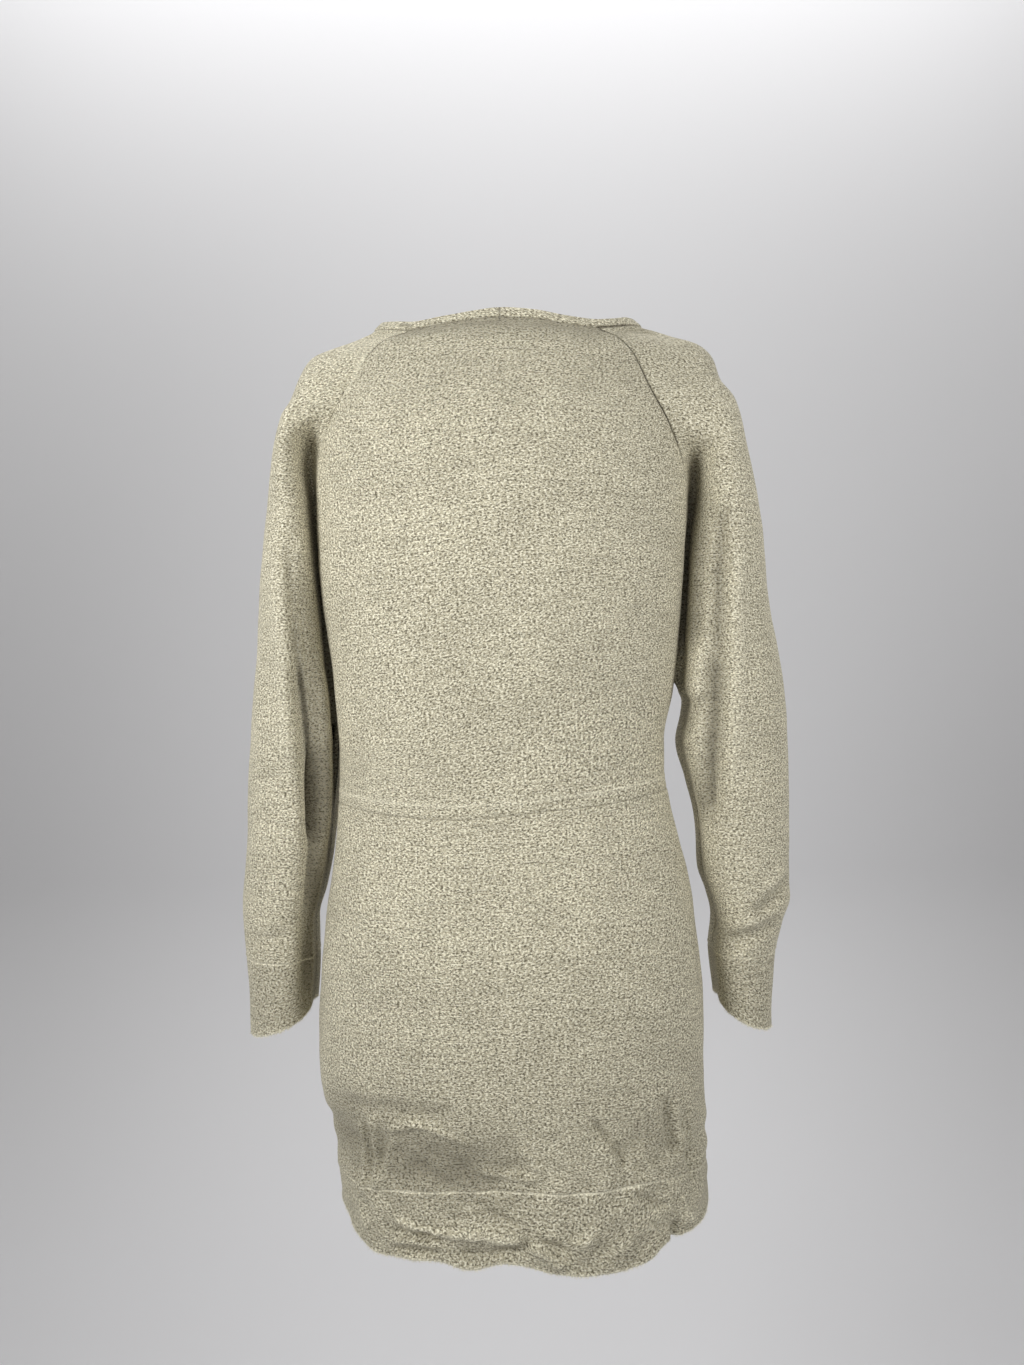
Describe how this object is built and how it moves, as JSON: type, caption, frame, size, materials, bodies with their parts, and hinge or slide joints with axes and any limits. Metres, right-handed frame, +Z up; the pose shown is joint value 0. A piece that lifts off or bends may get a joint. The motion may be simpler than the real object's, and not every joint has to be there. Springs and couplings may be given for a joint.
{
  "type": "sweater dress",
  "caption": "Short knitted sweater dress with a wide neck, raglan batwing sleeves, cuffs, a waist seam and a hem band, hollow and filled out as worn.",
  "frame": {"origin": "between the shoulders, on the level where the dress hangs on them", "axes": "+Z up, +X to the wearer's right, +Y to the front of the garment; its back faces -Y"},
  "size_m": [0.505, 0.2426, 0.8156],
  "materials": {
    "knit": "heathered grey-beige fine knit, matt and slightly fuzzy"
  },
  "bodies": {
    "root": {"neck_band": "knit", "back_bodice": "knit", "front_bodice": "knit", "sleeve_left": "knit", "sleeve_right": "knit", "cuff_left": "knit", "cuff_right": "knit", "skirt_back": "knit", "skirt_front": "knit", "hem_back": "knit", "hem_front": "knit"}
  },
  "joints": []
}
